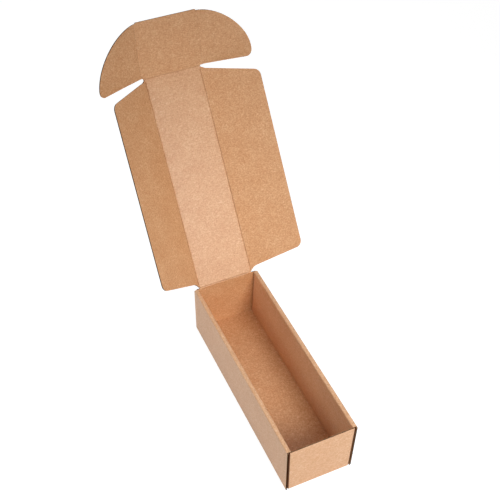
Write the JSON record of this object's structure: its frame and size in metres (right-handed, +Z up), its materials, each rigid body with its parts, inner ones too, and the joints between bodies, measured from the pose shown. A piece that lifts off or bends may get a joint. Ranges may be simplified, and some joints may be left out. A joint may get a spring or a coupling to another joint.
{
  "type": "bottle gift box",
  "caption": "Long shallow gift box of brown corrugated board for a bottle, with a hinged lid, side wings and a tuck flap with ears, standing open.",
  "frame": {"origin": "centre of the tray's underside", "axes": "+Y from the end that the tuck flap closes to the hinged end, +Z up, +X to the right seen from the tuck end"},
  "size_m": [0.2702, 0.5757, 0.4728],
  "materials": {
    "tray": "matt",
    "lid_panel": "matt",
    "left_wing": "matt",
    "right_wing": "matt",
    "tuck_flap": "matt",
    "left_ear": "matt",
    "right_ear": "matt"
  },
  "bodies": {
    "tray": {"tray": "tray"},
    "lid": {"lid_panel": "lid_panel"},
    "left_wing": {"left_wing": "left_wing"},
    "right_wing": {"right_wing": "right_wing"},
    "tuck": {"tuck_flap": "tuck_flap"},
    "left_ear": {"left_ear": "left_ear"},
    "right_ear": {"right_ear": "right_ear"}
  },
  "joints": [
    {"name": "lid_hinge", "type": "hinge", "parent": "tray", "child": "lid", "pos_m": [0, 0.1742, 0.0971], "axis": [1, 0, 0], "range_deg": [-60, 94]},
    {"name": "left_wing_crease", "type": "hinge", "parent": "lid", "child": "left_wing", "pos_m": [-0.047, 0.2778, 0.23814], "axis": [0, 0.592, 0.8059], "range_deg": [-58, 51.8]},
    {"name": "right_wing_crease", "type": "hinge", "parent": "lid", "child": "right_wing", "pos_m": [0.047, 0.2778, 0.23814], "axis": [0, -0.592, -0.8059], "range_deg": [-44, 66.1]},
    {"name": "tuck_crease", "type": "hinge", "parent": "lid", "child": "tuck", "pos_m": [0, 0.38158, 0.37942], "axis": [1, 0, 0], "range_deg": [-45, 60]},
    {"name": "left_ear_crease", "type": "hinge", "parent": "tuck", "child": "left_ear", "pos_m": [-0.05245, 0.39082, 0.42652], "axis": [0, 0.1925, 0.9813], "range_deg": [-44, 66.5]},
    {"name": "right_ear_crease", "type": "hinge", "parent": "tuck", "child": "right_ear", "pos_m": [0.05245, 0.39082, 0.42652], "axis": [0, -0.1925, -0.9813], "range_deg": [-23, 87]}
  ]
}
